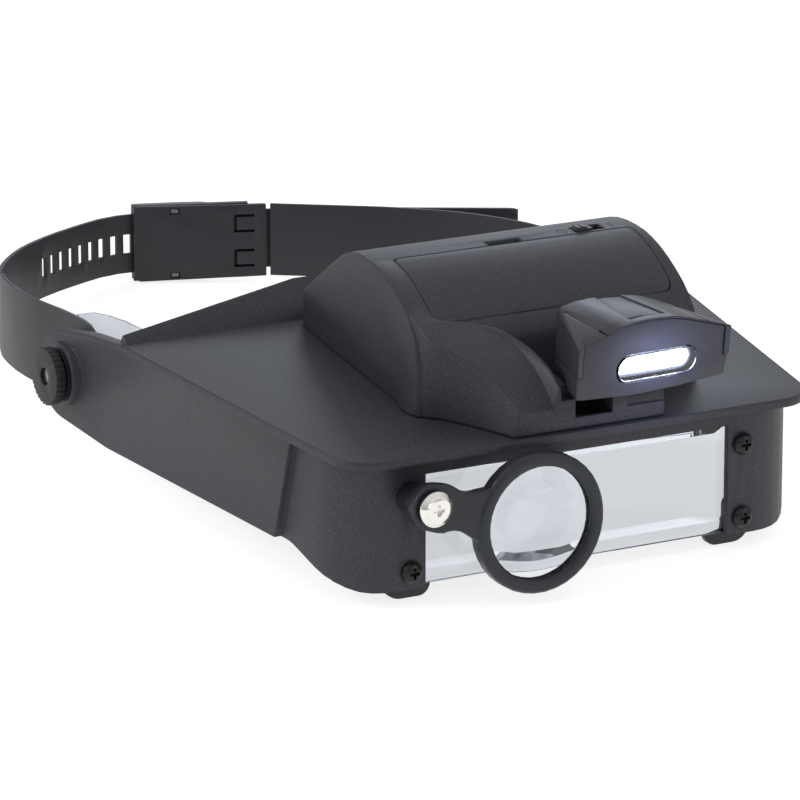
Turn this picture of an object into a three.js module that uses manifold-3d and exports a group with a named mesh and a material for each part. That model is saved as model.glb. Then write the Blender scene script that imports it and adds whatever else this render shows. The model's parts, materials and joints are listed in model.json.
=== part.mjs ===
// Head visor magnifier: hinged visor shell with a lens window, swing-in loupe, tilting lamp,
// battery housing and an adjustable headband. Millimetres, +Z up, the visor looks towards -Y.
import * as THREE from 'three';
import { ConvexGeometry } from 'three/addons/geometries/ConvexGeometry.js';
import { mergeVertices } from 'three/addons/utils/BufferGeometryUtils.js';
import Module from 'manifold-3d';

const wasm = await Module();
wasm.setup();

// ---------------------------------------------------------------- driving dimensions
const GAP = 0.3;                    // clearance between neighbouring pieces
const WALL = 2.2;                   // moulded wall thickness
const FRONT_HALF = 78.5;            // half width of the front wall
const FLARE = Math.tan(THREE.MathUtils.degToRad(8));   // how fast the arms spread to the back
const FRONT_BOTTOM = -1.4;          // bottom edge of the front posts
const CORNER_R = 19;                // vertical front corners of the wall
const PLATE_Z = 41;                 // top of the brim over the front wall
const PLATE_RISE = 0.102;           // brim rise per millimetre to the back
const PLATE_T = 2.6;                // brim thickness
const PLATE_FRONT = -5.2;           // front edge of the brim
const PLATE_HALF = 80.8;            // half width of the brim over the front wall
const PLATE_REAR = 110;             // where the brim ends and the rear ramp starts
const ARM_LOW_Z = 7;                // arm lower edge, extended to the front wall
const ARM_LOW_RISE = 0.09;
const PIVOT_Y = 141;                // headband pivot
const PIVOT_Z = 36.5;
const ARM_END_R = 12.6;             // round end of each arm
const WINDOW_HALF = 52.5;           // half width of the lens window
const WINDOW_TOP = 33.2;
const SCREW_X = 57.5;               // lens screws, either side of the window
const SCREW_LOW_Z = 4;
const SCREW_HIGH_Z = 27;
const HOUSING_X = 6.4;              // middle of the battery housing
const BAND_Z = 39;                  // middle height of the headband
const BAND_T = 1.3;                 // strap thickness
const STRAP_X = 93.2;               // the straps' ends lie flat at this distance, inside the arms
const LAMP_X = 17.6;                // middle of the lamp
const LAMP_PIN_Y = 7;               // lamp hinge pin
const LAMP_PIN_Z = 56;
const LAMP_YAW = THREE.MathUtils.degToRad(3);
const LAMP_HALF = 28.2;             // half width of the lamp's front
const LOUPE_ARM = 38;               // loupe pivot to lens centre
const LOUPE_DROP = THREE.MathUtils.degToRad(15.4);
const LOUPE_R = 21.6;               // outside of the loupe's ring
const LOUPE_OPENING_R = 17.2;
const ROUND = 30;                   // facets of a full circle on visible round pieces

// ---------------------------------------------------------------- solids from three.js geometry
function solid(geometry) {
  const bare = geometry.clone();
  bare.deleteAttribute('normal');
  bare.deleteAttribute('uv');
  const merged = mergeVertices(bare, 1e-4);
  const corners = new Uint32Array(merged.index.array);
  if (signedVolume(merged.attributes.position, corners) < 0) corners.reverse();
  return new wasm.Manifold(new wasm.Mesh({
    numProp: 3,
    vertProperties: new Float32Array(merged.attributes.position.array),
    triVerts: corners,
  }));
}

function signedVolume(position, corners) {
  const [a, b, c] = [new THREE.Vector3(), new THREE.Vector3(), new THREE.Vector3()];
  let volume = 0;
  for (let index = 0; index < corners.length; index += 3) {
    a.fromBufferAttribute(position, corners[index]);
    b.fromBufferAttribute(position, corners[index + 1]);
    c.fromBufferAttribute(position, corners[index + 2]);
    volume += a.dot(b.cross(c)) / 6;
  }
  return volume;
}

function geometryOf(body) {
  const mesh = body.getMesh();
  const geometry = new THREE.BufferGeometry();
  geometry.setAttribute('position', new THREE.BufferAttribute(mesh.vertProperties.slice(), 3));
  geometry.setIndex(new THREE.BufferAttribute(mesh.triVerts.slice(), 1));
  geometry.computeVertexNormals();
  return geometry;
}

function union(...bodies) {
  return bodies.reduce((sum, body) => sum.add(body));
}

function cut(body, ...tools) {
  return tools.reduce((rest, tool) => rest.subtract(tool), body);
}

// An outline whose corners [x, y, radius] are rounded with arcs.
function rounded(corners, steps = 5) {
  const points = [];
  const count = corners.length;
  corners.forEach(([x, y, radius = 0], index) => {
    const here = new THREE.Vector2(x, y);
    const [px, py] = corners[(index + count - 1) % count];
    const [nx, ny] = corners[(index + 1) % count];
    const back = new THREE.Vector2(px, py).sub(here).normalize();
    const ahead = new THREE.Vector2(nx, ny).sub(here).normalize();
    if (radius === 0) {
      points.push(here);
      return;
    }
    const half = Math.acos(THREE.MathUtils.clamp(back.dot(ahead), -1, 1)) / 2;
    const centre = back.clone().add(ahead).normalize().multiplyScalar(radius / Math.sin(half)).add(here);
    const reach = radius / Math.tan(half);
    const from = back.multiplyScalar(reach).add(here).sub(centre);
    const to = ahead.multiplyScalar(reach).add(here).sub(centre);
    const turn = Math.atan2(from.x * to.y - from.y * to.x, from.dot(to));
    for (let step = 0; step <= steps; step += 1) {
      const arm = from.clone().rotateAround(new THREE.Vector2(), turn * step / steps);
      points.push(arm.add(centre));
    }
  });
  return points;
}

function extruded(points, depth, holes = []) {
  const shape = new THREE.Shape(points);
  shape.holes = holes.map((hole) => new THREE.Path(hole));
  return new THREE.ExtrudeGeometry(shape, { depth, bevelEnabled: false, curveSegments: 12 });
}

const X_AXES = new THREE.Matrix4().makeBasis(
  new THREE.Vector3(0, 1, 0), new THREE.Vector3(0, 0, 1), new THREE.Vector3(1, 0, 0));
const Y_AXES = new THREE.Matrix4().makeBasis(
  new THREE.Vector3(1, 0, 0), new THREE.Vector3(0, 0, 1), new THREE.Vector3(0, -1, 0));

// Prisms along X (outline in y, z), along Y (outline in x, z) and along Z (outline in x, y).
function prismX(points, x0, x1, holes) {
  return solid(extruded(points, x1 - x0, holes).applyMatrix4(X_AXES).translate(x0, 0, 0));
}

function prismY(points, y0, y1, holes) {
  return solid(extruded(points, y1 - y0, holes).applyMatrix4(Y_AXES).translate(0, y1, 0));
}

function prismZ(points, z0, z1, holes) {
  return solid(extruded(points, z1 - z0, holes).translate(0, 0, z0));
}

function box(x0, x1, y0, y1, z0, z1) {
  return solid(new THREE.BoxGeometry(x1 - x0, y1 - y0, z1 - z0)
    .translate((x0 + x1) / 2, (y0 + y1) / 2, (z0 + z1) / 2));
}

// A turned body: profile [radius, height] pairs about an axis through `at`.
function turned(profile, at, axis = 'z', segments = ROUND) {
  const geometry = new THREE.LatheGeometry(profile.map(([r, h]) => new THREE.Vector2(r, h)), segments);
  if (axis === 'z') geometry.rotateX(Math.PI / 2);
  if (axis === 'x') geometry.rotateZ(-Math.PI / 2);
  return solid(geometry.translate(...at));
}

function disc(radius, from, to, at, axis, segments = ROUND) {
  return turned([[0, from], [radius, from], [radius, to], [0, to]], at, axis, segments);
}

// The brim's upper surface: height over a place `y` mm behind the front wall.
function brimZ(y) {
  return PLATE_Z + PLATE_RISE * y;
}

// A flat outline between two heights, leaned so that it follows the rise of the brim.
function leanedPrism(points, z0, z1, holes) {
  const geometry = extruded(points, z1 - z0, holes).translate(0, 0, z0);
  const position = geometry.attributes.position;
  for (let index = 0; index < position.count; index += 1) {
    position.setZ(index, position.getZ(index) + PLATE_RISE * position.getY(index));
  }
  return solid(geometry);
}

function hull(points) {
  return solid(new ConvexGeometry(points.map((point) => new THREE.Vector3(...point))));
}

function smoothPath(points, samples) {
  return new THREE.SplineCurve(points.map(([x, y]) => new THREE.Vector2(x, y))).getPoints(samples);
}

function mirrored(points) {
  return points.map(([x, y, radius]) => [-x, y, radius]).reverse();
}

// ---------------------------------------------------------------- materials
function finish(color, roughness, metalness = 0, extra = {}) {
  return new THREE.MeshStandardMaterial({ color, roughness, metalness, ...extra });
}

const MOULDED = finish(0x46444a, 0.62);
const MOULDED_LIGHT = finish(0x6e7176, 0.6);
const GLOSSY_BLACK = finish(0x17181b, 0.3);
const RUBBER = finish(0x26262a, 0.7);
const STRAP = finish(0x3a3b42, 0.5);
const NICKEL = finish(0xd9d6cf, 0.16, 1);
const STEEL = finish(0x9a9ca0, 0.3, 1);
const CLEAR = finish(0xe9eef0, 0.05, 0, { transparent: true, opacity: 0.35 });
const WHITE = finish(0xf4f6ff, 0.4);
const BOARD = finish(0x1f5a36, 0.5);
const CELL = finish(0x2f4a6b, 0.4);

const model = new THREE.Group();
const parts = {};

function add(name, body, material, group = model) {
  const mesh = new THREE.Mesh(geometryOf(body), material);
  mesh.name = name;
  group.add(mesh);
  parts[name] = mesh;
  return mesh;
}

// ---------------------------------------------------------------- visor shell
const wide = (half, y) => half + FLARE * y;
const ARM_FACE = wide(PLATE_HALF - 0.1, PIVOT_Y);
const FAR = 170;

function wallPlan(inset) {
  const half = FRONT_HALF - inset;
  const radius = CORNER_R - inset;
  return rounded([
    [-half, inset, radius], [half, inset, radius],
    [wide(half, FAR), FAR], [-wide(half, FAR), FAR],
  ], 7);
}

const sideOutline = rounded([
  [-9, FRONT_BOTTOM], [2, FRONT_BOTTOM, 14], [28, ARM_LOW_Z + 2.8, 16],
  [119, ARM_LOW_Z + ARM_LOW_RISE * 119, 30], [PIVOT_Y + ARM_END_R, PIVOT_Z - ARM_END_R, 12.5],
  [PIVOT_Y + ARM_END_R, PIVOT_Z + ARM_END_R, 12.5], [128, PIVOT_Z + ARM_END_R + 2.5, 14],
  [PLATE_REAR, brimZ(PLATE_REAR) - 0.4], [-9, brimZ(-9) - 0.4],
], 6);

function armPanel(side) {
  const plan = [[80.7, 0], [80.7 + FLARE * FAR, FAR], [77.5 + FLARE * FAR, FAR], [77.5, 0]]
    .map(([x, y]) => [side * x, y]);
  const behindStep = [[20, 60], [20 + 0.254 * 70, -10], [FAR, -10], [FAR, 60]];
  return prismZ(rounded(plan), -10, 70)
    .intersect(prismX(sideOutline, -110, 110))
    .intersect(prismX(rounded(behindStep), -110, 110));
}

function rearRamp() {
  const rise = 11;
  const run = 9;
  const start = wide(PLATE_HALF, PLATE_REAR) - 1.5;
  const full = 32;
  const front = (x) => [x, PLATE_REAR - 0.5, brimZ(PLATE_REAR)];
  const crest = (x, share) => [x, PLATE_REAR + run * share, brimZ(PLATE_REAR) + rise * share];
  const under = ([x, y, z]) => [x, y + 1.4, z - WALL];
  const wing = (side) => {
    const top = [
      front(side * start), front(side * full), crest(side * full, 1), crest(side * start, 0.22),
    ];
    return hull([...top, ...top.map(under)]);
  };
  const middle = [front(-full), front(full), crest(full, 1), crest(-full, 1)];
  return union(wing(-1), wing(1), hull([...middle, ...middle.map(under)]));
}

function visorShell() {
  const silhouette = prismX(sideOutline, -110, 110);
  const walls = prismZ(wallPlan(0), -10, 70)
    .subtract(prismZ(wallPlan(WALL), -11, 71))
    .intersect(silhouette);
  const half = wide(PLATE_HALF, PLATE_FRONT);
  const plate = leanedPrism(rounded([
    [-half, PLATE_FRONT, 12], [half, PLATE_FRONT, 12],
    [wide(PLATE_HALF, PLATE_REAR), PLATE_REAR, 2], [-wide(PLATE_HALF, PLATE_REAR), PLATE_REAR, 2],
  ], 8), PLATE_Z - PLATE_T, PLATE_Z);
  const bosses = [-1, 1].flatMap((side) => [
    disc(10, side * (ARM_FACE - 3), side * (ARM_FACE + 2), [0, PIVOT_Y, PIVOT_Z], 'x', 32),
    disc(8, side * (STRAP_X + BAND_T / 2 + GAP), side * (ARM_FACE - 2), [0, PIVOT_Y, PIVOT_Z], 'x', 24),
  ]);
  const body = union(walls, armPanel(-1), armPanel(1), plate, rearRamp(), ...bosses);
  const window = box(-WINDOW_HALF, WINDOW_HALF, -1, WALL + 1, -12, WINDOW_TOP);
  const screwHoles = [-1, 1].flatMap((side) => [SCREW_LOW_Z, SCREW_HIGH_Z].map(
    (z) => disc(1.7, -3, 6, [side * SCREW_X, 0, z], 'y', 16)));
  const pivotHole = disc(3.4, -120, 120, [0, PIVOT_Y, PIVOT_Z], 'x', 24);
  const wireHole = box(-2, 14, 24, 32, 30, 60);
  return cut(body, window, ...screwHoles, pivotHole, wireHole);
}

// ---------------------------------------------------------------- battery housing
// Side view of the battery housing's hump, from the foot of its front face over the top.
const HUMP = [
  [21.4, 36], [21.8, 46], [22.6, 56], [24.4, 63.5], [28.5, 69.7], [34.7, 75], [41.3, 79.2], [48, 82],
  [55, 83.7], [63, 84.3], [70, 83.1], [76, 80.5], [88.3, 73.2], [103, 63.8], [108.2, 58.2], [109.4, 48],
  [109.4, 38],
];

// The hump's outer form, shrunk by `inset` for the hollow under it.
function hump(inset) {
  const front = 49.9 - inset;
  const rear = 42.4 - inset;
  const plan = leanedPrism(rounded([
    [HOUSING_X - front, 20 + inset, 5], [HOUSING_X + front, 20 + inset, 5],
    [HOUSING_X + rear, 109.4 - inset, 7], [HOUSING_X - rear, 109.4 - inset, 7],
  ]), PLATE_Z + GAP - inset, PLATE_Z + 60);
  const middleY = 60;
  const shrink = 1 - inset / 48;
  const side = smoothPath(HUMP, 26).map((point) => new THREE.Vector2(
    middleY + (point.x - middleY) * shrink, point.y - inset));
  const ends = rounded([
    [HOUSING_X - 50.9 + inset, 36], [HOUSING_X + 50.9 - inset, 36],
    [HOUSING_X + 46.8 - inset, 90 - inset], [HOUSING_X - 46.4 + inset, 90 - inset],
  ]);
  return plan.intersect(prismX(side, -70, 80)).intersect(prismY(ends, 0, 120));
}

// The arched cheek left of the lamp sweeps from the hump down to a foot flush with the brim.
// Its outer ridge, the groove beside its inner lip, the lip and its base line, hump to foot.
const CHEEK_OUTER = [
  [-40.3, 33, 73.2], [-40, 26, 70.2], [-38.8, 20.6, 66.5], [-33.5, 15, 63.4],
  [-28.5, 9, 59.2], [-25, 2.6, 54], [-22.7, -3.4, 48.6],
];
const CHEEK_GROOVE = [
  [-27, 33, 73], [-22.5, 28.2, 69.1], [-17.8, 23, 66.6], [-14, 18.3, 64],
  [-11.9, 10.6, 60.2], [-11.1, 3.1, 55], [-10.6, -3.4, 47.6],
];
const CHEEK_LIP = [
  [-25, 33, 73.2], [-20.5, 28, 69], [-15.3, 24.1, 67.2], [-11.9, 17.9, 65.1],
  [-9.8, 10.3, 62.3], [-9, 2.1, 58.7], [-8.5, -3.4, 54.4],
];
const CHEEK_BASE = [
  [-43.4, 33], [-44, 27], [-43, 23.2], [-37.4, 18.4],
  [-32, 11], [-27.6, 3], [-24.6, -3.4],
];

function cheek() {
  const curve = (points) => new THREE.CatmullRomCurve3(points.map((point) => new THREE.Vector3(...point)));
  const onBase = ({ x, y }) => new THREE.Vector3(x, y, brimZ(y) + GAP);
  const [outer, groove, lip] = [CHEEK_OUTER, CHEEK_GROOVE, CHEEK_LIP].map(curve);
  const base = curve(CHEEK_BASE.map(([x, y]) => [x, y, brimZ(y) + GAP]));
  const steps = 12;
  const swept = (section) => {
    const slices = Array.from({ length: steps + 1 }, (_, step) => section(step / steps)
      .map((point) => point.toArray()));
    return union(...slices.slice(1).map((slice, step) => hull([...slices[step], ...slice])));
  };
  const body = swept((share) => {
    const [top, inner] = [outer.getPoint(share), groove.getPoint(share)];
    return [top, inner, onBase(inner), base.getPoint(share)];
  });
  const fin = swept((share) => {
    const [inner, top] = [groove.getPoint(share), lip.getPoint(share)];
    const shoulder = new THREE.Vector3(inner.x + 0.5, inner.y, (inner.z + top.z) / 2);
    return [inner, shoulder, top, onBase(top), onBase(inner)];
  });
  return union(body, fin);
}

const PEDESTAL = { left: -9.5, right: 27.8, front: -3.4, back: 24, top: 50.2 };

function pedestal() {
  const { left, right, front, back, top } = PEDESTAL;
  const block = leanedPrism(rounded([[left, front], [right, front, 1], [right, back], [left, back]]),
    PLATE_Z + GAP, PLATE_Z + 30).intersect(box(left, right, front, back, 36, top));
  const step = box(14.3, right + 1, front - 1, front + 0.9, 45.4, top + 1);
  const opening = box(-3.6, 9.3, front - 1, front + 2, 44.3, top + 1);
  const well = box(-3.6, 9.3, front + 1.6, front + 14, 30, top + 1);
  return cut(block, step, opening, well);
}

// Two ears hold the lamp's hinge pin above the pedestal.
const EAR_INNER = 3.9;
const EAR_T = 3.4;
const EAR_R = 3.4;

function atLampPin(body) {
  const place = new THREE.Matrix4().makeRotationZ(LAMP_YAW).setPosition(LAMP_X, LAMP_PIN_Y, LAMP_PIN_Z);
  return solid(geometryOf(body).applyMatrix4(place));
}

function lampEars() {
  const outline = rounded([
    [-EAR_R, -9], [EAR_R, -9], [EAR_R, EAR_R, EAR_R - 0.1], [-EAR_R, EAR_R, EAR_R - 0.1],
  ]);
  const bore = disc(1.7, -20, 20, [0, 0, 0], 'x', 20);
  const ears = [-EAR_INNER - EAR_T, EAR_INNER].map((x) => prismX(outline, x, x + EAR_T));
  return atLampPin(union(...ears).subtract(bore));
}

const DOOR = { left: -33, right: 50.2, front: 28.5, back: 54, latch: 6.5 };

function doorPlan(grow) {
  const { left, right, front, back } = DOOR;
  return prismZ(rounded([
    [left - grow, front - grow, 3], [right + grow, front - grow, 3],
    [right + grow, back + grow, 2], [left - grow, back + grow, 2],
  ]), 60, 95);
}

const SWITCH = { x: 37, y: 57.6, half: 5.2 };

function batteryHousing() {
  const shell = union(hump(0), cheek(), pedestal(), lampEars());
  const { x, y, half } = SWITCH;
  const switchSlot = box(x - half, x + half, y - 2.2, y + 2.2, 80, 90);
  const latchSlot = box(DOOR.latch - 6, DOOR.latch + 6, DOOR.back - 1, DOOR.back + 3.4, 82.2, 90);
  return cut(shell, hump(WALL), doorPlan(GAP), switchSlot, latchSlot);
}

function batteryDoor() {
  const skin = hump(0).subtract(hump(WALL)).intersect(doorPlan(0));
  const finger = box(DOOR.latch - 4, DOOR.latch + 4, DOOR.back - 1.6, DOOR.back - 0.2, 84.2, 90);
  return skin.subtract(finger);
}

add('visor_shell', visorShell(), MOULDED);
add('battery_housing', batteryHousing(), MOULDED);
add('battery_door', batteryDoor(), MOULDED);

// ---------------------------------------------------------------- batteries and switch
const CELL_R = 5.2;
const CELL_LENGTH = 44.5;
const CELL_PLACES = [[33.8, 61.9], [45.2, 65.6], [57.2, 67.6]];      // y, z of each cell's axis
const CELL_START = DOOR.left + 8;

function batteryCell([y, z], reversed) {
  const profile = [[0, 0], [CELL_R, 0], [CELL_R, CELL_LENGTH - 1], [1.9, CELL_LENGTH - 1],
    [1.9, CELL_LENGTH], [0, CELL_LENGTH]];
  const turnedProfile = reversed ? profile.map(([r, h]) => [r, CELL_LENGTH - h]).reverse() : profile;
  return turned(turnedProfile, [CELL_START, y, z], 'x', 18);
}

CELL_PLACES.forEach((place, index) => {
  add(`battery_${index + 1}`, batteryCell(place, index === 1), CELL);
});

// The tray: a floor under the cells with end walls that carry the contacts.
function batteryTray() {
  const floor = prismX(rounded([[26, 52.5], [64, 60.4], [64, 62.2], [26, 54.3]]),
    CELL_START - 4, CELL_START + 48.5);
  const wall = rounded([
    [26.4, 53.5], [63.6, 61], [63.6, 73], [35.4, 69.5], [28.6, 63], [26.4, 57.5],
  ]);
  const ends = [CELL_START - 4, CELL_START + 47].map((x) => prismX(wall, x, x + 1.5));
  return union(floor, ...ends);
}

add('battery_tray', batteryTray(), RUBBER);

// The negative end of a cell rests on a pressed cone of two low rings.
function contactCone([y, z], x, side) {
  const ring = (inner, place) => turned([
    [inner, 0], [inner + 0.8, 0], [inner + 0.8, 0.45], [inner, 0.45], [inner, 0],
  ], [place, y, z], 'x', 12);
  return union(ring(3.4, x), ring(2.9, x + side * 0.42));
}

function contactPlate(x, side) {
  const [low, , high] = CELL_PLACES;
  const plate = prismX(rounded([[low[0] - 3.5, low[1] - 3.2], [high[0] + 3.5, high[1] - 3.2],
    [high[0] + 3.5, high[1] + 3.2], [low[0] - 3.5, low[1] + 3.2]]), x, x + 0.5);
  const cones = CELL_PLACES.filter((_, index) => (index === 1) === (side > 0))
    .map((place) => contactCone(place, x - side * 0.4, -side));
  return union(plate, ...cones);
}

add('contact_plate_left', contactPlate(CELL_START - 2.2, -1), NICKEL);
add('contact_plate_right', contactPlate(CELL_START + 46.2, 1), NICKEL);

const { x: switchX, y: switchY } = SWITCH;
add('switch_body', box(switchX - 6, switchX + 6, switchY - 3, switchY + 3, 75.5, 81), RUBBER);

// The slider's foot runs in the housing's slot and its thumb ridge stands in the recess.
const SLIDE_TRAVEL = 3.6;
const sliderLeft = switchX - SWITCH.half + 0.5;
add('switch_slider', union(
  box(sliderLeft, sliderLeft + 6, switchY - 1.8, switchY + 1.8, 82.3, 84.4),
  box(sliderLeft + 0.6, sliderLeft + 2, switchY - 1.8, switchY + 1.8, 84, 85),
  box(sliderLeft + 2.6, sliderLeft + 4, switchY - 1.8, switchY + 1.8, 84, 85),
), GLOSSY_BLACK);

// ---------------------------------------------------------------- lamp
const lamp = new THREE.Group();
lamp.position.set(LAMP_X, LAMP_PIN_Y, LAMP_PIN_Z);
lamp.rotation.z = LAMP_YAW;
model.add(lamp);

const LAMP_FRONT = -18;
const LAMP_SEAM = 2.8;
const WINDOW_X = 1.4;
const WINDOW_Z = 3.3;

// Outlines of the lamp's front and back ends as [x, z] from its hinge pin.
const LAMP_NOSE = [
  [-LAMP_HALF, 11.6], [-19.5, 14.6], [-13.8, 16.9], [-7.8, 18.1], [-1.7, 18.4], [6.5, 17.9], [13.2, 16.2],
  [19, 14.4], [27.2, 11.9], [27.8, 3.8], [27.2, -3.6], [9.5, -5.1], [-8, -5.6], [-LAMP_HALF, -4.4],
];
const LAMP_TAIL = [
  [-18.8, 17.4], [-17.8, 19], [-14, 20.1], [-10, 20.5], [-4, 20.4], [2, 19.8], [10, 18.2], [16, 16.2],
  [19.5, 14.5], [20.5, -1], [8, -3.2], [-8, -3.2], [-19.6, -1],
];

// The lamp's outer form, shrunk by `inset` and stopped `setBack` behind its front.
function lampForm(inset, setBack = inset) {
  const middle = 7;
  const shrunk = (outline, y) => outline.map(([x, z]) => [
    x * (1 - inset / LAMP_HALF), y, middle + (z - middle) * (1 - inset / 12),
  ]);
  const form = hull([...shrunk(LAMP_NOSE, LAMP_FRONT - 3), ...shrunk(LAMP_TAIL, 5)]);
  const plan = prismZ(rounded([
    [-40, LAMP_FRONT - 6], [40, LAMP_FRONT - 6], [24.5 - inset, 5 - inset, 5], [-24.5 + inset, 5 - inset, 5],
  ]), -12, 30);
  const side = rounded([
    [LAMP_FRONT + 1 + setBack, -6], [LAMP_FRONT - 2.6 + setBack, 17], [LAMP_FRONT - 3 + setBack, 26],
    [-2, 26], [5.2 - inset, 17.5 - inset, 3], [4.8 - inset, -2 + inset, 3], [-2, -6],
  ]);
  return form.intersect(plan).intersect(prismX(side, -40, 40));
}

function windowOutline(grow) {
  const [left, right] = [WINDOW_X - 14.4 - grow, WINDOW_X + 14.4 + grow];
  const [low, high] = [WINDOW_Z - 4.3 - grow, WINDOW_Z + 4.3 + grow];
  const radius = 4.25 + grow;
  return rounded([[left, low, radius], [right, low, radius], [right, high, radius], [left, high, radius]], 8);
}

// The lower shell is all under the seam, and the face that stands back inside the brow.
const BROW = 1;
const FACE_SET = 0.5;
const FRONT_ZONE = [[-40, -12], [LAMP_FRONT + 4.5, -12], [LAMP_FRONT + 1.2, 25], [-40, 25]];

function lowerZone(grow) {
  const seam = LAMP_SEAM + grow;
  const base = prismX(rounded([[-40, -12], [12, -12], [12, seam], [-40, seam]]), -30, 30);
  const zone = prismX(rounded(FRONT_ZONE.map(([y, z]) => [y + grow, z])), -30, 30);
  const inside = lampForm(BROW - grow);
  return union(base, zone.intersect(union(inside, inside.translate([0, -3, 0]))));
}

function hingeSlots() {
  return [-1, 1].map((side) => {
    const x = side > 0 ? EAR_INNER - 0.5 : -EAR_INNER - EAR_T - 0.5;
    const pocket = disc(EAR_R + 1, 0, EAR_T + 1, [x, 0, 0], 'x', 20);
    return union(pocket, box(x, x + EAR_T + 1, -EAR_R - 3, EAR_R + 3.2, -12, 0));
  });
}

const lampBody = lampForm(0);
const lampHollow = lampForm(2, FACE_SET + 2);
const windowHole = prismY(windowOutline(GAP), -40, -8);
const hingeBore = disc(1.5, -11, 11, [0, 0, 0], 'x', 20);
const hingeBlocks = box(-11, 11, -3, 3.2, -5.4, 1.8).intersect(lampBody);
const faceFront = prismX(rounded([
  [-60, -12], [LAMP_FRONT + 1.1 + FACE_SET, -12], [LAMP_FRONT + 1 + FACE_SET, -6],
  [LAMP_FRONT - 2.6 + FACE_SET, 17], [LAMP_FRONT - 3 + FACE_SET, 30], [-60, 30],
]), -40, 40);
const lowerShell = cut(union(lampBody.subtract(lampHollow), hingeBlocks).intersect(lowerZone(0)),
  faceFront, windowHole, hingeBore, ...hingeSlots());
// A sunken panel in the middle of the lamp's top and a groove across each of its wings.
const outlineOf = (points) => points.map(([x, y]) => new THREE.Vector2(x, y));
const panelRecess = prismZ(outlineOf([[-8.6, -17.8], [4.6, -17], [2.4, 8], [-6.4, 8]]), 4, 30)
  .subtract(lampForm(0.5));
const wingGrooves = [-1, 1].map((side) => {
  const outline = outlineOf([[side * 17.5, -24], [side * 18.4, -24], [side * 19.4, 1], [side * 18.5, 1]]);
  return prismZ(outline, 4, 30).subtract(lampForm(0.45));
});
const upperShell = cut(lampBody.subtract(lampHollow),
  lowerZone(GAP), panelRecess, ...wingGrooves, ...hingeSlots());

add('lamp_lower_shell', lowerShell, MOULDED, lamp);
add('lamp_upper_shell', upperShell, MOULDED, lamp);
add('lamp_hinge_pin', disc(1.2, -10.6, 10.6, [0, 0, 0], 'x', 20), STEEL, lamp);

const faceLean = THREE.MathUtils.degToRad(9);
const face = new THREE.Group();
face.position.set(WINDOW_X, LAMP_FRONT + FACE_SET - 0.7, WINDOW_Z);
face.rotation.x = faceLean;
lamp.add(face);

function stadium(half, high, front, back) {
  return prismY(rounded([[-half, -high, high - 0.05], [half, -high, high - 0.05],
    [half, high, high - 0.05], [-half, high, high - 0.05]], 6), front, back);
}

add('lamp_window', stadium(14.1, 4, 0, 1.4), CLEAR, face);
const LED_X = [-9.3, -3.1, 3.1, 9.3];
const reflectorCup = stadium(13.4, 3.5, 3.6, 8.4).subtract(stadium(12.6, 2.7, 3, 7.8));
const ledHoles = LED_X.map((x) => disc(2.3, 7, 9, [x, 0, 0], 'y', 16));
add('lamp_reflector', cut(reflectorCup, ...ledHoles), WHITE, face);
add('led_board', box(-13, 13, 9, 10.2, -3.6, 3.6), BOARD, face);
LED_X.forEach((x, index) => {
  const profile = [[0, 2.2], [1.2, 2.5], [1.9, 3.6], [1.9, 8.7], [0, 8.7]];
  add(`led_${index + 1}`, turned(profile, [x, 0, 0], 'y', 12), WHITE, face);
});

// ---------------------------------------------------------------- lens plate and its screws
const LENS_FRONT = WALL + GAP;
const LENS_BACK = LENS_FRONT + 2.4;

function lensPlate() {
  const plate = prismY(rounded([
    [-61.5, -1, 1.5], [61.5, -1, 1.5], [61.5, 35.8, 1.5], [-61.5, 35.8, 1.5],
  ]), LENS_FRONT, LENS_BACK);
  const rim = (half, low, high, y) => [[-half, y, low], [half, y, low], [half, y, high], [-half, y, high]];
  const raised = hull([...rim(53.6, 2.4, 32.4, LENS_BACK - 0.1), ...rim(50.4, 5, 30, LENS_BACK + 1.6)]);
  const holes = [-1, 1].flatMap((side) => [SCREW_LOW_Z, SCREW_HIGH_Z].map(
    (z) => disc(1.7, 0, 9, [side * SCREW_X, 0, z], 'y', 16)));
  return cut(union(plate, raised), ...holes);
}

add('lens_plate', lensPlate(), CLEAR);

const TAB_FRONT = LENS_BACK + GAP;
const TAB_BACK = TAB_FRONT + 2.4;
const TAB_LOW = -5.6;

function lensRetainer(side) {
  const outline = rounded([
    [side * 48, TAB_LOW, 3.9], [side * 64, TAB_LOW, 6], [side * 64, 9, 3], [side * 53.6, 9, 2],
    [side * 53.6, -0.4], [side * 48, -1.6],
  ], 8);
  return prismY(outline, TAB_FRONT, TAB_BACK)
    .subtract(disc(1.7, 0, 12, [side * SCREW_X, 0, SCREW_LOW_Z], 'y', 16));
}

add('lens_retainer_left', lensRetainer(-1), GLOSSY_BLACK);
add('lens_retainer_right', lensRetainer(1), GLOSSY_BLACK);

function crossRecess(size, depth, front, at) {
  return union(...[0, 90].map((turn) => solid(new THREE.BoxGeometry(size, depth, size * 0.28)
    .translate(0, front + depth / 2, 0).rotateY(THREE.MathUtils.degToRad(turn)).translate(...at))));
}

function panScrew(x, z, end) {
  const head = [
    [0, -2.6], [1.6, -2.5], [2.7, -2], [3.35, -1.1], [3.4, -GAP], [1.3, -GAP], [1.3, end], [0, end],
  ];
  return turned(head, [x, 0, z], 'y', 16).subtract(crossRecess(3.4, 2, -3, [x, 0, z]));
}

const SCREW_END = 11.5;
add('screw_lower_left', panScrew(-SCREW_X, SCREW_LOW_Z, SCREW_END), GLOSSY_BLACK);
add('screw_lower_right', panScrew(SCREW_X, SCREW_LOW_Z, SCREW_END), GLOSSY_BLACK);
add('screw_upper_right', panScrew(SCREW_X, SCREW_HIGH_Z, 9.4), GLOSSY_BLACK);

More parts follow.
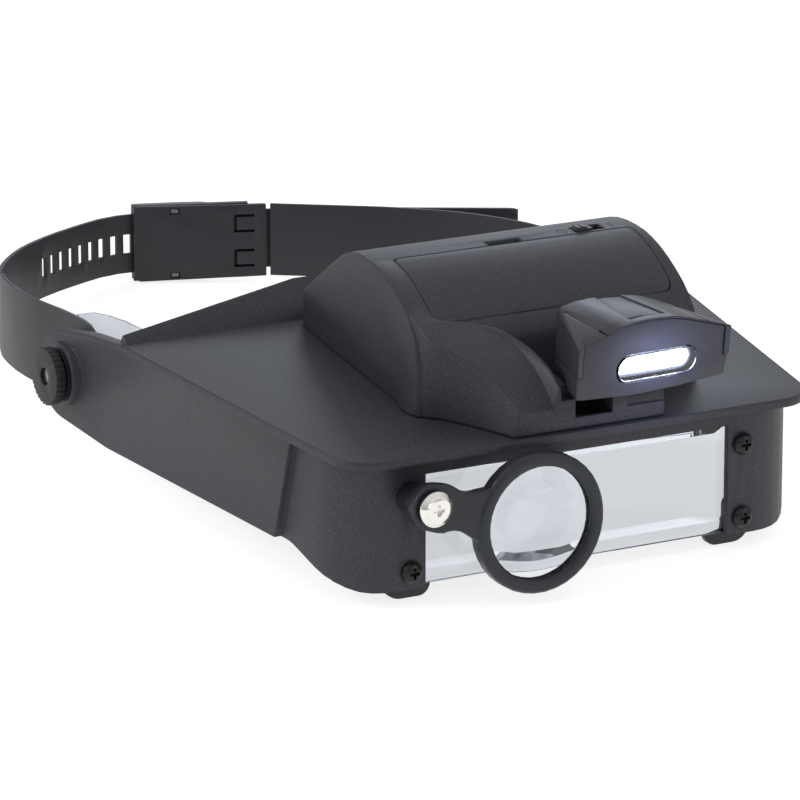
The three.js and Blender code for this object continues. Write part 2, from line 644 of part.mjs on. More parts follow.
function hexNut(x, z, front) {
  const hexagon = Array.from({ length: 6 }, (_, corner) => {
    const angle = corner * Math.PI / 3;
    return new THREE.Vector2(x + 2.9 * Math.cos(angle), z + 2.9 * Math.sin(angle));
  });
  return prismY(hexagon, front, front + 2).subtract(disc(1.6, 0, 20, [x, 0, z], 'y', 16));
}

add('nut_lower_left', hexNut(-SCREW_X, SCREW_LOW_Z, TAB_BACK + GAP), STEEL);
add('nut_lower_right', hexNut(SCREW_X, SCREW_LOW_Z, TAB_BACK + GAP), STEEL);
add('nut_upper_left', hexNut(-SCREW_X, SCREW_HIGH_Z, LENS_BACK + GAP), STEEL);
add('nut_upper_right', hexNut(SCREW_X, SCREW_HIGH_Z, LENS_BACK + GAP), STEEL);

// ---------------------------------------------------------------- swing-in loupe
const BOSS_FRONT = -9.2;
const loupe = new THREE.Group();
loupe.position.set(-SCREW_X, 0, SCREW_HIGH_Z);
loupe.rotation.y = LOUPE_DROP;
model.add(loupe);

add('loupe_boss', turned([[1.8, -GAP], [4.9, -GAP], [4.7, BOSS_FRONT], [1.8, BOSS_FRONT], [1.8, -GAP]],
  [-SCREW_X, 0, SCREW_HIGH_Z], 'y', 28), GLOSSY_BLACK);

function loupeFrame() {
  const armFront = -13.2;
  const armBack = BOSS_FRONT - GAP;
  const reach = LOUPE_ARM - LOUPE_R + 2;
  const arm = prismY(rounded([
    [-6.6, -6.6, 6.4], [5, -7.4, 8], [reach * 0.55, -5.2, 8], [reach + 2, -9], [reach + 2, 9],
    [reach * 0.55, 5.2, 8], [5, 7.4, 8], [-6.6, 6.6, 6.4],
  ], 5), armFront, armBack);
  const ring = turned([
    [LOUPE_OPENING_R, -8.4], [LOUPE_R - 0.6, -8.4], [LOUPE_R, -9], [LOUPE_R, -12.8],
    [LOUPE_R - 0.9, -13.8], [LOUPE_OPENING_R + 1, -13.8], [LOUPE_OPENING_R, -13], [LOUPE_OPENING_R, -8.4],
  ], [LOUPE_ARM, 0, 0], 'y', 36);
  const bore = disc(2.3, -20, 0, [0, 0, 0], 'y', 24);
  const groove = disc(LOUPE_OPENING_R + 1.3, -12.2, -9.6, [LOUPE_ARM, 0, 0], 'y', 36);
  const opening = disc(LOUPE_OPENING_R, -20, 0, [LOUPE_ARM, 0, 0], 'y', 36);
  return cut(union(arm, ring), bore, groove, opening);
}

add('loupe_frame', loupeFrame(), GLOSSY_BLACK, loupe);

// A biconvex lens held in the ring's groove.
function loupeLens() {
  const edge = LOUPE_OPENING_R + 1;
  const dome = (side) => [0, 0.35, 0.7, 1].map((share) => [
    (LOUPE_OPENING_R - 0.6) * share, -10.9 + side * (0.9 + 1.5 * (1 - share * share))]);
  const profile = [...dome(-1), [edge, -11.8], [edge, -10], ...dome(1).reverse()];
  return turned(profile, [LOUPE_ARM, 0, 0], 'y', 28);
}

add('loupe_lens', loupeLens(), CLEAR, loupe);
const washerProfile = [[2.3, -13.5], [4.2, -13.5], [4.2, -14], [2.3, -14], [2.3, -13.5]];
add('loupe_washer', turned(washerProfile, [0, 0, 0], 'y', 24), STEEL, loupe);

const capFront = -16.6;
const loupeAxis = [-SCREW_X, 0, SCREW_HIGH_Z];
const shoulderScrew = turned([
  [0, capFront], [3.6, capFront], [3.7, capFront + 0.3], [3.9, capFront + 0.3],
  [5.4, capFront + 1.5], [5.4, capFront + 2.3], [1.3, capFront + 2.3], [1.3, 9.4], [0, 9.4],
], loupeAxis, 'y', 28);
add('loupe_screw', shoulderScrew.subtract(crossRecess(3.6, 2, capFront - 1, loupeAxis)), NICKEL);

// ---------------------------------------------------------------- headband
const BUCKLE_TURN = THREE.MathUtils.degToRad(-20.4);
const BUCKLE_MIDDLE = new THREE.Vector2(9, 260.5);
const BUCKLE_HALF = 22.4;

// A place in the buckle's frame: `along` the band, `out` from the plate's inner face.
function atBuckle(along, out) {
  return new THREE.Vector2(along, out).rotateAround(new THREE.Vector2(), BUCKLE_TURN).add(BUCKLE_MIDDLE);
}

// A strip of the given thickness that follows a plan curve between two heights.
function strip(points, thickness, low, high, samples) {
  const curve = new THREE.SplineCurve(points.map(([x, y]) => new THREE.Vector2(x, y)));
  const edge = (side) => Array.from({ length: samples + 1 }, (_, step) => {
    const share = step / samples;
    const tangent = curve.getTangentAt(share);
    const normal = new THREE.Vector2(-tangent.y, tangent.x);
    return curve.getPointAt(share).addScaledVector(normal, side * thickness / 2);
  });
  return prismZ([...edge(1), ...edge(-1).reverse()], low, high);
}

const HINGE_END_Y = PIVOT_Y - ARM_END_R;
const hingeRun = (side) => [HINGE_END_Y - 1, PIVOT_Y, 156].map((y) => [side * STRAP_X, y]);
const innerRun = [-1, -0.5, 0, 0.5, 1].map((share) => atBuckle(share * BUCKLE_HALF, 3).toArray());
const LEFT_PATH = [
  ...hingeRun(-1), [-94.8, 174], [-93.5, 192], [-88.8, 211], [-79.6, 229], [-65.5, 245.5],
  [-50, 257], [-33, 266], [-22, 270.4], ...innerRun, [50, 247.6], [75, 232.6], [106, 214.5],
];
const RIGHT_PATH = [
  ...hingeRun(1), [95, 173], [92, 190], [82, 209.5], [66, 226.8], [48, 240.8],
  atBuckle(BUCKLE_HALF + 1.5, 0.8).toArray(),
];
const BACK_HALF = 10;               // half width of the slotted strap at the back
const TEMPLE_HALF = 13.4;
const RIGHT_HALF = 12.4;

// Side view of a strap: round at the hinge, wide at the temple and narrower behind.
function strapSide(templeHalf, backHalf) {
  const reach = templeHalf - 0.1;
  return prismX(rounded([
    [HINGE_END_Y, BAND_Z - templeHalf, reach], [208, BAND_Z - templeHalf, 6], [214, BAND_Z - backHalf, 6],
    [300, BAND_Z - backHalf], [300, BAND_Z + backHalf], [214, BAND_Z + backHalf, 6],
    [208, BAND_Z + templeHalf, 6], [HINGE_END_Y, BAND_Z + templeHalf, reach],
  ]), -120, 120);
}

const pivotBore = disc(2.9, -130, 130, [0, PIVOT_Y, PIVOT_Z], 'x', 20);

const SLOT_PITCH = 5.3;
const SLOT_START = 143;             // path length from the hinge end to the first slot
const SLOT_COUNT = 14;

function strapSlots() {
  const curve = new THREE.SplineCurve(LEFT_PATH.map(([x, y]) => new THREE.Vector2(x, y)));
  const length = curve.getLength();
  return Array.from({ length: SLOT_COUNT }, (_, index) => {
    const share = (SLOT_START + index * SLOT_PITCH) / length;
    const { x, y } = curve.getPointAt(share);
    const turn = curve.getTangentAt(share).angle();
    return solid(new THREE.BoxGeometry(2.8, 6, 6.6).rotateZ(turn).translate(x, y, BAND_Z));
  });
}

function leftStrap() {
  const whole = strip(LEFT_PATH, BAND_T, BAND_Z - 14, BAND_Z + 14, 42)
    .intersect(strapSide(TEMPLE_HALF, BACK_HALF));
  const narrowTail = box(15, 130, 200, 275, BAND_Z - BACK_HALF, BAND_Z + BACK_HALF);
  const frontHalf = box(-130, 15, 100, 290, 0, 80);
  const roundEnd = prismX(rounded([
    [214.2, BAND_Z - BACK_HALF, 2.4], [290, BAND_Z - BACK_HALF],
    [290, BAND_Z + BACK_HALF], [214.2, BAND_Z + BACK_HALF, 2.4],
  ]), 15, 130);
  return cut(union(whole.intersect(frontHalf), whole.intersect(narrowTail).intersect(roundEnd)),
    pivotBore, ...strapSlots());
}

function rightStrap() {
  return strip(RIGHT_PATH, BAND_T, BAND_Z - 14, BAND_Z + 14, 28)
    .intersect(strapSide(RIGHT_HALF, RIGHT_HALF)).subtract(pivotBore);
}

function inBuckle(body) {
  const place = new THREE.Matrix4().makeRotationZ(BUCKLE_TURN)
    .setPosition(BUCKLE_MIDDLE.x, BUCKLE_MIDDLE.y, BAND_Z);
  return solid(geometryOf(body).applyMatrix4(place));
}

const BUCKLE_HIGH = 12.9;
const CLIP_HIGH = 12.7;
const CLIP_BACK = 6.6;

// The buckle's inner plate: two snap tongues, two small slots and guides for the strap behind it.
function bucklePlate() {
  const plate = prismY(rounded([
    [-BUCKLE_HALF, -BUCKLE_HIGH, 2.5], [BUCKLE_HALF, -BUCKLE_HIGH + 0.5, 0.4],
    [BUCKLE_HALF, BUCKLE_HIGH - 0.5, 0.4], [-BUCKLE_HALF, BUCKLE_HIGH, 1],
  ]), 0, 1.6);
  const guides = [-1, 1].map((side) => box(-BUCKLE_HALF, BUCKLE_HALF - 6,
    1.5, 3.8, side > 0 ? BACK_HALF + 0.5 : -BUCKLE_HIGH, side > 0 ? BUCKLE_HIGH : -BACK_HALF - 0.5));
  const tongues = [-1, 1].flatMap((side) => {
    const z = side * 6;
    return [
      box(11.4, 12.5, -1, 3, z - 3.1, z + 3.1),
      box(11.4, 18.4, -1, 3, z - 3.1, z - 2.2),
      box(11.4, 18.4, -1, 3, z + 2.2, z + 3.1),
    ];
  });
  const slots = [-1, 1].map((side) => box(-10.2, -6.9, -1, 5, side * 11 - 1, side * 11 + 1));
  return inBuckle(cut(union(plate, ...guides), ...tongues, ...slots));
}

// The clip behind the plate: a domed cover whose two feet snap into the plate's small slots.
function buckleClip() {
  const left = -BUCKLE_HALF - 0.4;
  const cover = prismZ(rounded([
    [left, 4.1, 0.4], [2, 4.1, 0.4], [3.5, 4.6, 0.4], [1, 6, 3], [-6, CLIP_BACK, 12], [left, CLIP_BACK - 0.3, 1.2],
  ]), -CLIP_HIGH, CLIP_HIGH);
  const feet = [-1, 1].map((side) => box(-9.8, -7.3, 0.4, 4.4, side * 11 - 0.65, side * 11 + 0.65));
  const tooth = box(-14.8, -13.4, 3.5, 4.6, -3, 3);
  return inBuckle(cut(union(cover, ...feet), tooth));
}

add('left_strap', leftStrap(), STRAP);
add('right_strap', rightStrap(), STRAP);
add('buckle_plate', bucklePlate(), STRAP);
add('buckle_clip', buckleClip(), MOULDED_LIGHT);

// The clear forehead band hangs inside the strap ends and bows forward across the brow.
const FOREHEAD_T = 0.9;
const FOREHEAD_X = STRAP_X - BAND_T / 2 - GAP - FOREHEAD_T / 2;
const foreheadSide = [
  ...[133, PIVOT_Y, 148].map((y) => [-FOREHEAD_X, y]),
  [-90, 154], [-85.5, 156.5], [-81.6, 152], [-79.8, 143], [-76.5, 133], [-65, 123], [-36, 115.5],
];
const FOREHEAD_PATH = [...foreheadSide, [0, 113], ...mirrored(foreheadSide)];

function foreheadBand() {
  const side = rounded([
    [100, 28], [126, 27, 4], [170, 27], [170, 50.6], [140, 50.6, 8], [122, 46.6, 8], [100, 46],
  ], 3);
  return strip(FOREHEAD_PATH, FOREHEAD_T, 20, 60, 46).intersect(prismX(side, -120, 120)).subtract(pivotBore);
}

add('forehead_band', foreheadBand(), CLEAR);

// ---------------------------------------------------------------- pivot bolts and knobs
const KNOB_R = 9.2;
const TEETH = 30;

function knob(side) {
  const outline = Array.from({ length: TEETH * 2 }, (_, index) => {
    const angle = index * Math.PI / TEETH;
    const radius = KNOB_R - (index % 2) * 0.55;
    return new THREE.Vector2(PIVOT_Y + radius * Math.cos(angle), PIVOT_Z + radius * Math.sin(angle));
  });
  const start = ARM_FACE + 3.8;
  const end = ARM_FACE + 7;
  const rim = prismX(outline, side > 0 ? start : -end, side > 0 ? end : -start);
  const collar = disc(7.4, side * (start - 0.7), side * (start + 0.4), [0, PIVOT_Y, PIVOT_Z], 'x', 28);
  const bore = disc(2.8, -130, 130, [0, PIVOT_Y, PIVOT_Z], 'x', 16);
  return cut(union(rim, collar), bore);
}

function pivotWasher(side) {
  const profile = [[3.2, 2.3], [8.4, 2.3], [8.4, 2.8], [3.2, 2.8], [3.2, 2.3]]
    .map(([r, h]) => [r, side * (ARM_FACE + h)]);
  return turned(profile, [0, PIVOT_Y, PIVOT_Z], 'x', 24);
}

function pivotBolt(side) {
  const head = FOREHEAD_X - FOREHEAD_T / 2 - GAP;
  const profile = [[0, head - 2], [4.6, head - 1.6], [5.2, head - 0.2], [5.2, head], [2.4, head],
    [2.4, ARM_FACE + 6], [0, ARM_FACE + 6]].map(([r, h]) => [r, side * h]);
  return turned(profile, [0, PIVOT_Y, PIVOT_Z], 'x', 20);
}

[['left', -1], ['right', 1]].forEach(([name, side]) => {
  add(`pivot_washer_${name}`, pivotWasher(side), STEEL);
  add(`knob_${name}`, knob(side), RUBBER);
  add(`pivot_bolt_${name}`, pivotBolt(side), STEEL);
});

// ---------------------------------------------------------------- rest attitude
// Set down, the visor rocks back until the lens retainers and the back of the band touch.
const RETAINER_FOOT = { y: TAB_BACK, z: TAB_LOW };
const BAND_FOOT = { y: atBuckle(1.6 - BUCKLE_HALF, CLIP_BACK).y, z: BAND_Z - CLIP_HIGH };
const REST_TILT = Math.atan2(BAND_FOOT.z - RETAINER_FOOT.z, BAND_FOOT.y - RETAINER_FOOT.y);
model.rotation.x = -REST_TILT;

const part = new THREE.Group();
part.add(model);
part.updateMatrixWorld(true);
const bounds = new THREE.Box3().setFromObject(part, true);
const middle = bounds.getCenter(new THREE.Vector3());
model.position.set(-middle.x, -middle.y, -bounds.min.z);

export default part;
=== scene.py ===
"""Head visor magnifier: looks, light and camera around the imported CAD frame. Metres, +Z up."""
import json
import math

import bmesh
import bpy
from mathutils import Matrix, Vector
from mathutils.bvhtree import BVHTree


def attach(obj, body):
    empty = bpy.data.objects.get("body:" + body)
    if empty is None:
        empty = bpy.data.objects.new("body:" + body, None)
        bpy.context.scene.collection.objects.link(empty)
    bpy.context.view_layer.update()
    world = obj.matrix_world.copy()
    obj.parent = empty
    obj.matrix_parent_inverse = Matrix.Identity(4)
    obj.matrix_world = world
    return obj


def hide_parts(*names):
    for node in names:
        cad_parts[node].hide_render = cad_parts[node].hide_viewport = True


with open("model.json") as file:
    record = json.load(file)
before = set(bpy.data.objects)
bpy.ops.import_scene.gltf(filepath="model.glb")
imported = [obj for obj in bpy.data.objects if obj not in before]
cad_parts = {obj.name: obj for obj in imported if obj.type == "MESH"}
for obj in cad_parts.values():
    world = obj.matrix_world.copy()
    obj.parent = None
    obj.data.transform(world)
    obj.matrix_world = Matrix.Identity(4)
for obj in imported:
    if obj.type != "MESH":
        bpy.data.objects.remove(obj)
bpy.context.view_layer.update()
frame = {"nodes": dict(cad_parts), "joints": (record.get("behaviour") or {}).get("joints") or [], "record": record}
NODES = frame["nodes"]
JOINTS = {joint["name"]: joint for joint in frame["joints"]}
BODIES = frame["record"]["behaviour"]["bodies"]
BODY_OF = {node: body for body, names in BODIES.items() for node in names}
SLOT_OF = {entry["node"]: entry["material_slot"] for entry in frame["record"]["subparts"]}
MM = 0.001

# ------------------------------------------------------------------ the visor's own frame
# The visor stands tilted back on its lens retainers and its band. Its own frame has the lens
# window's front face at y = 0 and is square to that face; the loupe's joint gives its tilt.
LOUPE_PIVOT = Vector((-57.5, 0, 27)) * MM
swing = JOINTS["loupe_swing"]
REST_TILT = math.atan2(swing["axis"][2], -swing["axis"][1])
TURN = Matrix.Rotation(-REST_TILT, 4, "X")
VISOR = Matrix.Translation(Vector(swing["pos_m"]) - (TURN @ LOUPE_PIVOT)) @ TURN


def in_visor(x, y, z):
    """A place given in millimetres in the visor's own frame, in the row frame in metres."""
    return VISOR @ (Vector((x, y, z)) * MM)


# ------------------------------------------------------------------ camera
CAMERA_AZIMUTH = math.radians(-29.5)
CAMERA_ELEVATION = math.radians(15.6)
CAMERA_DISTANCE = 1.668
CAMERA_TARGET = Vector((-27.2, 60, 37.6)) * MM
CAMERA_LENS = 247.7


def add_camera():
    back = Vector((
        math.sin(CAMERA_AZIMUTH) * math.cos(CAMERA_ELEVATION),
        -math.cos(CAMERA_AZIMUTH) * math.cos(CAMERA_ELEVATION),
        math.sin(CAMERA_ELEVATION),
    ))
    right = Vector((math.cos(CAMERA_AZIMUTH), math.sin(CAMERA_AZIMUTH), 0))
    rotation = Matrix((right, back.cross(right), back)).transposed().to_4x4()
    data = bpy.data.cameras.new("camera")
    data.sensor_width = 36
    data.lens = CAMERA_LENS
    data.clip_end = 50
    camera = bpy.data.objects.new("camera", data)
    place = Matrix.Translation(CAMERA_TARGET + back * CAMERA_DISTANCE)
    camera.matrix_world = VISOR @ place @ rotation
    bpy.context.scene.collection.objects.link(camera)
    bpy.context.scene.camera = camera


add_camera()


# ------------------------------------------------------------------ materials
class Nodes:
    """A short way to write a node tree around one Principled BSDF."""

    def __init__(self, name, **sockets):
        self.material = bpy.data.materials.new(name)
        self.material.use_nodes = True
        self.tree = self.material.node_tree
        self.shader = self.tree.nodes["Principled BSDF"]
        for socket, value in sockets.items():
            self.shader.inputs[socket.replace("_", " ")].default_value = value
        self.place = self.tree.nodes.new("ShaderNodeTexCoord").outputs["Object"]

    def node(self, kind, inputs=None, **settings):
        made = self.tree.nodes.new(kind)
        for name, value in settings.items():
            setattr(made, name, value)
        for key, value in (inputs or {}).items():
            if isinstance(value, bpy.types.NodeSocket):
                self.tree.links.new(value, made.inputs[key])
            else:
                made.inputs[key].default_value = value
        return made

    def noise(self, size, detail=2.0, stretch=(1, 1, 1), roughness=0.5):
        """Noise whose features are about `size` metres, stretched by `stretch`."""
        mapped = self.node("ShaderNodeMapping", {"Vector": self.place, "Scale": stretch})
        made = self.node("ShaderNodeTexNoise", {
            "Vector": mapped.outputs[0], "Scale": 1 / size, "Detail": detail, "Roughness": roughness,
        })
        return made.outputs["Fac"]

    def rounded(self, radius):
        """Normals that turn softly over every edge, as over the small radius a mould leaves."""
        return self.node("ShaderNodeBevel", {"Radius": radius}, samples=6).outputs["Normal"]

    def ramp(self, factor, *stops):
        """Colours or greys at positions along a factor."""
        made = self.node("ShaderNodeValToRGB", {"Fac": factor})
        elements = made.color_ramp.elements
        while len(elements) < len(stops):
            elements.new(0.5)
        for element, (position, value) in zip(elements, stops):
            element.position = position
            element.color = (*value, 1) if isinstance(value, tuple) else (value, value, value, 1)
        return made.outputs["Color"]

    def mixed(self, factor, a, b, mode="MIX"):
        made = self.node("ShaderNodeMix", data_type="RGBA", blend_type=mode)
        colours = [socket for socket in made.inputs if socket.type == "RGBA"]
        factors = [socket for socket in made.inputs if socket.type == "VALUE"]
        for socket, value in zip([factors[0], *colours], [factor, a, b]):
            if isinstance(value, bpy.types.NodeSocket):
                self.tree.links.new(value, socket)
            else:
                socket.default_value = value
        return next(socket for socket in made.outputs if socket.type == "RGBA")

    def scaled(self, value, low, high):
        made = self.node("ShaderNodeMapRange", {0: value, 3: low, 4: high})
        return made.outputs[0]

    def bump(self, height, strength, distance, after=None):
        inputs = {"Height": height, "Strength": strength, "Distance": distance}
        if after is not None:
            inputs["Normal"] = after
        return self.node("ShaderNodeBump", inputs).outputs["Normal"]

    def drive(self, **sockets):
        for socket, value in sockets.items():
            self.tree.links.new(value, self.shader.inputs[socket.replace("_", " ")])
        return self.material


def moulded_material(name, colour, rough, grain, depth, speck_and_glint=0.25, specular=0.4, edge=0.0006):
    """Spark-eroded plastic: a fine pebbled grain whose tone varies, with painted glints lightening its tips, and
    edges rounded by `edge`.
    """
    m = Nodes(name, Specular_IOR_Level=specular)
    pebble = m.noise(grain, 2.0)
    cloud = m.noise(0.04, 3.0)
    # The grain's colour swing is grain tone, and the lighter colour on its tips is a painted glint where the
    # pebbles would catch light.
    dark = tuple(channel * (1 - speck_and_glint) for channel in colour)
    light = tuple(channel * (1 + speck_and_glint * 1.6) for channel in colour)
    base = m.ramp(pebble, (0.34, dark), (0.5, colour), (0.68, light))
    tint = m.ramp(cloud, (0.3, 0.47), (0.7, 0.53))
    colour_out = m.mixed(0.3, base, tint, "OVERLAY")
    roughness = m.scaled(m.noise(grain * 2.0, 2.0), rough - 0.05, rough + 0.05)
    normal = m.bump(pebble, depth, 0.0001, m.rounded(edge))
    return m.drive(Base_Color=colour_out, Roughness=roughness, Normal=normal)


def smooth_material(name, colour, rough, wave=0.05, specular=0.3, scratch=0.02):
    """Smooth moulded plastic with flow marks, fingerprints and hair scratches."""
    m = Nodes(name, Specular_IOR_Level=specular)
    smear = m.noise(0.012, 4.0)
    hair = m.noise(0.004, 3.0, stretch=(1, 14, 14))
    base = m.mixed(m.scaled(smear, 0.0, 0.5), (*colour, 1), (*[c * 1.35 for c in colour], 1))
    roughness = m.scaled(smear, rough - 0.06, rough + 0.08)
    normal = m.bump(hair, scratch, 0.0001, m.bump(m.noise(0.0016, 2.0), wave, 0.0002))
    return m.drive(Base_Color=base, Roughness=roughness, Normal=normal)


def metal_material(name, colour, rough, brushed=0.03, stretch=(1, 1, 1)):
    """Plated or plain metal with faint stains and fine lines along `stretch`."""
    m = Nodes(name, Metallic=1.0)
    lines = m.noise(0.0012, 3.0, stretch=stretch)
    stain = m.noise(0.004, 3.0)
    base = m.mixed(m.scaled(stain, 0.0, 0.45), (*colour, 1), (*[c * 0.72 for c in colour], 1))
    roughness = m.scaled(lines, max(0.04, rough - 0.05), rough + 0.1)
    return m.drive(Base_Color=base, Roughness=roughness, Normal=m.bump(lines, brushed, 0.0001))


def clear_material(name, colour, rough, ior, haze=0.03, clear=1.0):
    """Clear or milky plastic, with smears and a very slight waviness."""
    m = Nodes(name, Transmission_Weight=clear, IOR=ior, Specular_IOR_Level=0.5)
    smear = m.noise(0.02, 3.0)
    base = m.mixed(m.scaled(smear, 0.0, 0.3), (*colour, 1), (*[c * 0.96 for c in colour], 1))
    roughness = m.scaled(smear, rough, rough + haze)
    normal = m.bump(m.noise(0.03, 2.0), 0.02, 0.0002)
    return m.drive(Base_Color=base, Roughness=roughness, Normal=normal)


def glowing_material(name, colour, strength):
    """A lit surface with hotter, whiter patches."""
    m = Nodes(name, Emission_Strength=strength, Roughness=0.2)
    core = m.noise(0.0014, 2.0)
    glow = m.mixed(m.scaled(core, 0.0, 0.6), (*colour, 1), (0.93, 0.95, 1.0, 1))
    return m.drive(Base_Color=glow, Emission_Color=glow)


CHARCOAL = (0.022, 0.022, 0.028)
FINISH = {
    "moulded": moulded_material("moulded_charcoal", CHARCOAL, 0.5, 0.00045, 0.4, 0.4, 0.45, 0.001),
    "moulded_fine": moulded_material(
        "moulded_fine", (0.026, 0.0265, 0.034), 0.42, 0.0004, 0.2, 0.15, 0.45),
    "moulded_light": smooth_material("moulded_grey", (0.13, 0.135, 0.14), 0.45),
    "black_plastic": moulded_material(
        "black_moulded", (0.015, 0.016, 0.020), 0.36, 0.0005, 0.22, 0.2, 0.4),
    "knob": moulded_material(
        "knob_black", (0.012, 0.013, 0.015), 0.5, 0.0005, 0.12, 0.15, 0.3, 0.0003),
    "strap": smooth_material("strap_slate", (0.021, 0.021, 0.025), 0.45),
    "nickel": metal_material("nickel_plate", (0.84, 0.82, 0.78), 0.06, 0.01),
    "steel": metal_material("zinc_steel", (0.30, 0.30, 0.31), 0.34, 0.06, (1, 6, 6)),
    "black_steel": smooth_material("black_oxide", (0.010, 0.010, 0.011), 0.25, 0.02),
    "clear": clear_material("clear_acrylic", (0.97, 0.98, 1.0), 0.0, 1.49),
    # The lens plate's grey tint is painted shade: it darkens the pale floor seen through the window.
    "plate_acrylic": clear_material("plate_acrylic", (0.73, 0.76, 0.80), 0.0, 1.49, 0.05),
    "vinyl": clear_material("clear_vinyl", (0.80, 0.83, 0.88), 0.16, 1.35, 0.08, 0.75),
    "led": glowing_material("led_epoxy", (0.8, 0.86, 1.0), 12.0),
    # The reflector's pale blue colour is painted light: the LEDs' bluish glow laid into the cups.
    "reflector": smooth_material("lamp_reflector", (0.42, 0.47, 0.66), 0.25),
    "board": smooth_material("board_green", (0.02, 0.11, 0.05), 0.4),
    "mark": smooth_material("mark_black", (0.008, 0.008, 0.009), 0.6),
    "cell": smooth_material("cell_sleeve", (0.03, 0.06, 0.11), 0.35),
}


# ------------------------------------------------------------------ pieces
def carried_mesh(node):
    """A welded copy of a CAD node's mesh with its flat faces dissolved into polygons."""
    mesh = bpy.data.meshes.new(node)
    bm = bmesh.new()
    bm.from_mesh(NODES[node].data)
    bmesh.ops.remove_doubles(bm, verts=bm.verts, dist=2e-6)
    bmesh.ops.dissolve_limit(bm, angle_limit=math.radians(0.6), verts=bm.verts, edges=bm.edges)
    bm.to_mesh(mesh)
    bm.free()
    mesh.materials.clear()
    return mesh


def finish_piece(obj, node, slot=None):
    """The piece takes a CAD node's body and a finish, its slot's or another, and the node itself is hidden."""
    obj.data.materials.append(FINISH[slot or SLOT_OF[node]])
    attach(obj, BODY_OF[node])
    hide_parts(node)


def apply_modifiers(obj):
    """Bakes the object's modifiers into a new mesh and clears them."""
    bpy.context.view_layer.update()
    depsgraph = bpy.context.evaluated_depsgraph_get()
    result = bpy.data.meshes.new_from_object(obj.evaluated_get(depsgraph))
    old = obj.data
    obj.modifiers.clear()
    obj.data = result
    result.name = obj.name
    bpy.data.meshes.remove(old)


BEVEL_FROM = math.radians(28)
SHARP_FROM = math.radians(32)
BEVEL_SEGMENTS = 3
KEPT_SHARE = 0.35


def crisp(node, bevel, slot=None):
    """A CAD node with bevelled edges and smooth curved faces."""
    obj = bpy.data.objects.new(f"{node}_piece", carried_mesh(node))
    bpy.context.scene.collection.objects.link(obj)
    if bevel:
        modifier = obj.modifiers.new("edge", "BEVEL")
        modifier.width = bevel
        modifier.segments = BEVEL_SEGMENTS
        modifier.limit_method = "ANGLE"
        modifier.angle_limit = BEVEL_FROM
        modifier.use_clamp_overlap = True
        apply_modifiers(obj)
    obj.data.shade_smooth()
    obj.data.set_sharp_from_angle(angle=SHARP_FROM)
    finish_piece(obj, node, slot)


def moulded(node, voxel, passes):
    """A CAD node remeshed finely and relaxed, so that all its edges are rounded as in a mould."""
    obj = bpy.data.objects.new(f"{node}_piece", carried_mesh(node))
    bpy.context.scene.collection.objects.link(obj)
    remesh = obj.modifiers.new("fine", "REMESH")
    remesh.mode = "VOXEL"
    remesh.voxel_size = voxel
    relax = obj.modifiers.new("relax", "SMOOTH")
    relax.factor = 0.5
    relax.iterations = passes
    fewer = obj.modifiers.new("fewer", "DECIMATE")
    fewer.ratio = KEPT_SHARE
    apply_modifiers(obj)
    obj.data.shade_smooth()
    finish_piece(obj, node)


crisp("visor_shell", 0.5 * MM)
crisp("battery_housing", 0.5 * MM)
crisp("battery_door", 0.35 * MM)
crisp("lamp_lower_shell", 0.3 * MM, "moulded_fine")
crisp("lamp_upper_shell", 0.3 * MM, "moulded_fine")
moulded("loupe_frame", 0.36 * MM, 4)
EDGE_MM = {
    "loupe_boss": 0.5, "lens_retainer_left": 0.5, "lens_retainer_right": 0.5,
    "screw_lower_left": 0.08, "screw_lower_right": 0.08, "screw_upper_right": 0.08,
    "loupe_screw": 0.1, "knob_left": 0.14, "knob_right": 0.14,
    "pivot_bolt_left": 0.2, "pivot_bolt_right": 0.2,
    "left_strap": 0.25, "right_strap": 0.25, "buckle_plate": 0.25, "buckle_clip": 0.6,
    "switch_slider": 0.15, "switch_body": 0.2, "lamp_hinge_pin": 0.15,
    "lamp_window": 0.3, "lamp_reflector": 0.1, "led_board": 0.1,
    "battery_tray": 0.2, "battery_1": 0.3, "battery_2": 0.3, "battery_3": 0.3,
    "nut_lower_left": 0.15, "nut_lower_right": 0.15, "nut_upper_left": 0.15, "nut_upper_right": 0.15,
    "contact_plate_left": 0.05, "contact_plate_right": 0.05, "forehead_band": 0.15,
    "loupe_lens": 0.0, "led_1": 0.0, "led_2": 0.0, "led_3": 0.0, "led_4": 0.0,
}
for name, width in EDGE_MM.items():
    crisp(name, width * MM)
crisp("lens_plate", 0.25 * MM, "plate_acrylic")
for name in ("pivot_washer_left", "pivot_washer_right", "loupe_washer"):
    crisp(name, 0.08 * MM, "black_steel")


# A plain ring and a plain bar are printed beside the switch for off and on.
def add_mark(name, outline, inner, x, y):
    """A flat mark laid on the housing's top: a closed outline, with an inner one for a ring."""
    housing = bpy.data.objects["battery_housing_piece"].data
    corners = [vertex.co for vertex in housing.vertices]
    tree = BVHTree.FromPolygons(corners, [face.vertices for face in housing.polygons])
    down = (VISOR.to_3x3() @ Vector((0, 0, -1))).normalized()

    def laid(point):
        start = in_visor(x + point[0], y + point[1], 110)
        hit, normal, _, _ = tree.ray_cast(start, down)
        return hit + normal * (0.03 * MM)

    count = len(outline)
    vertices = [laid(point) for point in [*outline, *inner]]
    faces = [(i, (i + 1) % count, count + (i + 1) % count, count + i) for i in range(count)]
    mesh = bpy.data.meshes.new(name)
    mesh.from_pydata(vertices, [], faces if inner else [tuple(range(count))])
    mesh.materials.append(FINISH["mark"])
    mark = bpy.data.objects.new(name, mesh)
    bpy.context.scene.collection.objects.link(mark)
    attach(mark, BODY_OF["battery_housing"])


def circle(radius, count=24):
    steps = [2 * math.pi * i / count for i in range(count)]
    return [(radius * math.cos(turn), radius * math.sin(turn)) for turn in steps]


add_mark("mark_off", circle(1.7), circle(1.25), 28, 57.4)
add_mark("mark_on", [(-0.25, -1.7), (0.25, -1.7), (0.25, 1.7), (-0.25, 1.7)], [], 45.6, 57.4)


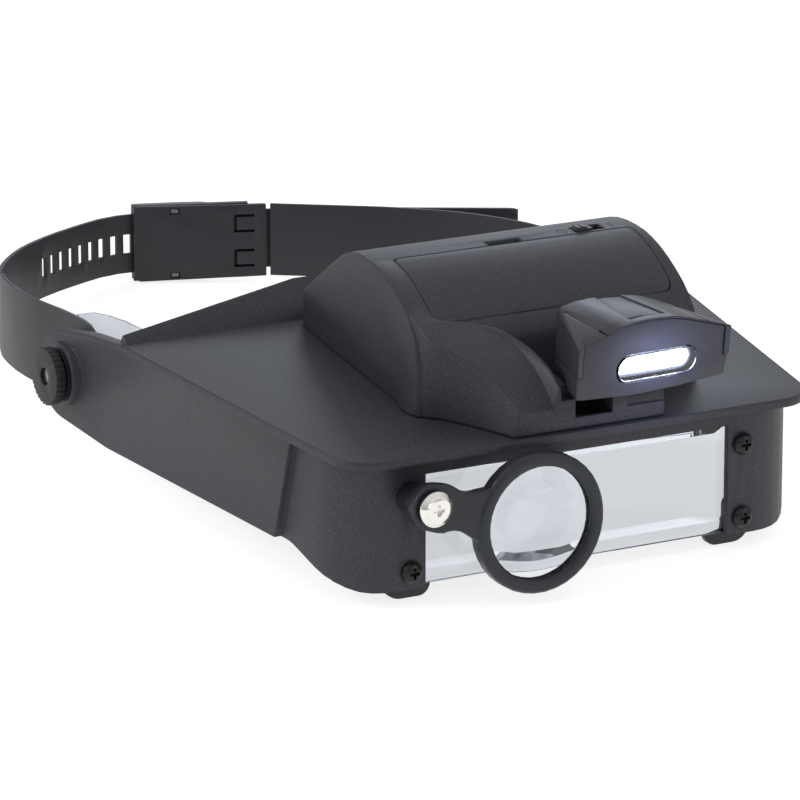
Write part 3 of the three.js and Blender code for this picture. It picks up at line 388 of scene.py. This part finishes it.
# ------------------------------------------------------------------ floor and light
def add_floor():
    mesh = bpy.data.meshes.new("floor")
    bm = bmesh.new()
    bmesh.ops.create_grid(bm, x_segments=2, y_segments=2, size=8)
    bm.to_mesh(mesh)
    bm.free()
    m = Nodes("floor_paper", Roughness=0.9, Emission_Color=(1, 1, 1, 1), Emission_Strength=0.8)
    patches = m.scaled(m.noise(0.4, 2.0), 0.0, 0.2)
    tone = m.mixed(patches, (0.36, 0.36, 0.36, 1), (0.35, 0.35, 0.353, 1))
    mesh.materials.append(m.drive(Base_Color=tone))
    floor = bpy.data.objects.new("floor", mesh)
    bpy.context.scene.collection.objects.link(floor)


def add_light(name, place, aim, size, power, colour=(1, 1, 1)):
    data = bpy.data.lights.new(name, "AREA")
    data.shape = "DISK"
    data.size = size
    data.energy = power
    data.color = colour
    light = bpy.data.objects.new(name, data)
    light.location = place
    light.rotation_euler = (Vector(aim) - Vector(place)).to_track_quat("-Z", "Y").to_euler()
    bpy.context.scene.collection.objects.link(light)


def add_glow():
    """The lamp's own light on its face and on the brim under it."""
    data = bpy.data.lights.new("lamp_glow", "POINT")
    data.shadow_soft_size = 4 * MM
    data.energy = 0.03
    data.color = (0.55, 0.6, 1.0)
    glow = bpy.data.objects.new("lamp_glow", data)
    glow.location = in_visor(20.5, -22, 59.5)
    glow.visible_camera = False
    glow.visible_glossy = False
    glow.visible_transmission = False
    bpy.context.scene.collection.objects.link(glow)


def add_world():
    """A pale studio, brightest overhead."""
    world = bpy.data.worlds.new("studio")
    bpy.context.scene.world = world
    world.use_nodes = True
    tree = world.node_tree
    place = tree.nodes.new("ShaderNodeTexCoord")
    split = tree.nodes.new("ShaderNodeSeparateXYZ")
    ramp = tree.nodes.new("ShaderNodeValToRGB")
    for element, level in zip(ramp.color_ramp.elements, (0.42, 0.8)):
        element.color = (level, level, level * 1.02, 1)
    ramp.color_ramp.elements[1].position = 0.75
    tree.links.new(place.outputs["Generated"], split.inputs[0])
    tree.links.new(split.outputs["Z"], ramp.inputs["Fac"])
    tree.links.new(ramp.outputs["Color"], tree.nodes["Background"].inputs["Color"])


add_floor()
add_world()
add_light("key", (-1.35, 0.25, 0.85), (0, 0, 0.05), 0.7, 9)
add_light("fill", (0.9, -1.2, 0.7), (0, 0, 0.05), 0.9, 1.5)
add_light("rim", (0.9, 1.4, 0.75), (0, 0, 0.05), 0.6, 3.5, (0.76, 0.85, 1.0))
add_glow()
bpy.context.scene.view_settings.view_transform = "Standard"
